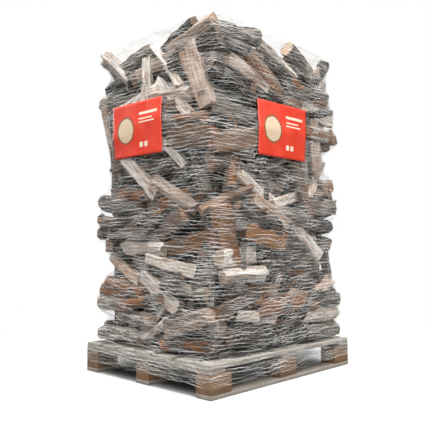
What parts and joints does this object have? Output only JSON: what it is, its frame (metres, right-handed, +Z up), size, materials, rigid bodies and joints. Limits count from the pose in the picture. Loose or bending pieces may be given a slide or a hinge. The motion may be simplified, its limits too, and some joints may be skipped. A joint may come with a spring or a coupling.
{
  "type": "pallet of firewood",
  "caption": "Tall heap of split and round firewood logs on a wooden block pallet, wrapped in a stretched knitted net, with a plain red label on two sides.",
  "frame": {"origin": "on the ground, under the middle of the pallet", "axes": "+Z up; X along the pallet's 1200 mm side; the front, which carries one of the two labels, looks along -Y and the side with the other label along -X"},
  "size_m": [1.216, 1.016, 1.8932],
  "materials": {
    "logs": "rough bark and split faces",
    "pallet_boards": "sawn softwood",
    "pallet_blocks": "sawn, darker",
    "net": "knitted polyethylene net, open mesh",
    "labels": "printed film with a slight sheen"
  },
  "bodies": {
    "root": {"bottom_board_01": "pallet_boards", "bottom_board_02": "pallet_boards", "bottom_board_03": "pallet_boards", "block_01": "pallet_blocks", "block_02": "pallet_blocks", "block_03": "pallet_blocks", "block_04": "pallet_blocks", "block_05": "pallet_blocks", "block_06": "pallet_blocks", "block_07": "pallet_blocks", "block_08": "pallet_blocks", "block_09": "pallet_blocks", "stringer_board_01": "pallet_boards", "stringer_board_02": "pallet_boards", "stringer_board_03": "pallet_boards", "deck_board_01": "pallet_boards", "deck_board_02": "pallet_boards", "deck_board_03": "pallet_boards", "deck_board_04": "pallet_boards", "deck_board_05": "pallet_boards", "deck_board_06": "pallet_boards", "deck_board_07": "pallet_boards", "logs_course_01": "logs", "logs_course_02": "logs", "logs_course_03": "logs", "logs_course_04": "logs", "logs_course_05": "logs", "loose_log_01": "logs", "loose_log_02": "logs", "loose_log_03": "logs", "loose_log_04": "logs", "loose_log_05": "logs", "loose_log_06": "logs", "loose_log_07": "logs", "loose_log_08": "logs", "loose_log_09": "logs", "loose_log_10": "logs", "loose_log_11": "logs", "loose_log_12": "logs", "loose_log_13": "logs", "loose_log_14": "logs", "loose_log_15": "logs", "loose_log_16": "logs", "loose_log_17": "logs", "loose_log_18": "logs", "loose_log_19": "logs", "loose_log_20": "logs", "loose_log_21": "logs", "loose_log_22": "logs", "loose_log_23": "logs", "loose_log_24": "logs", "loose_log_25": "logs", "loose_log_26": "logs", "loose_log_27": "logs", "loose_log_28": "logs", "loose_log_29": "logs", "loose_log_30": "logs", "net": "net", "label_front": "labels", "label_left": "labels"}
  },
  "joints": []
}
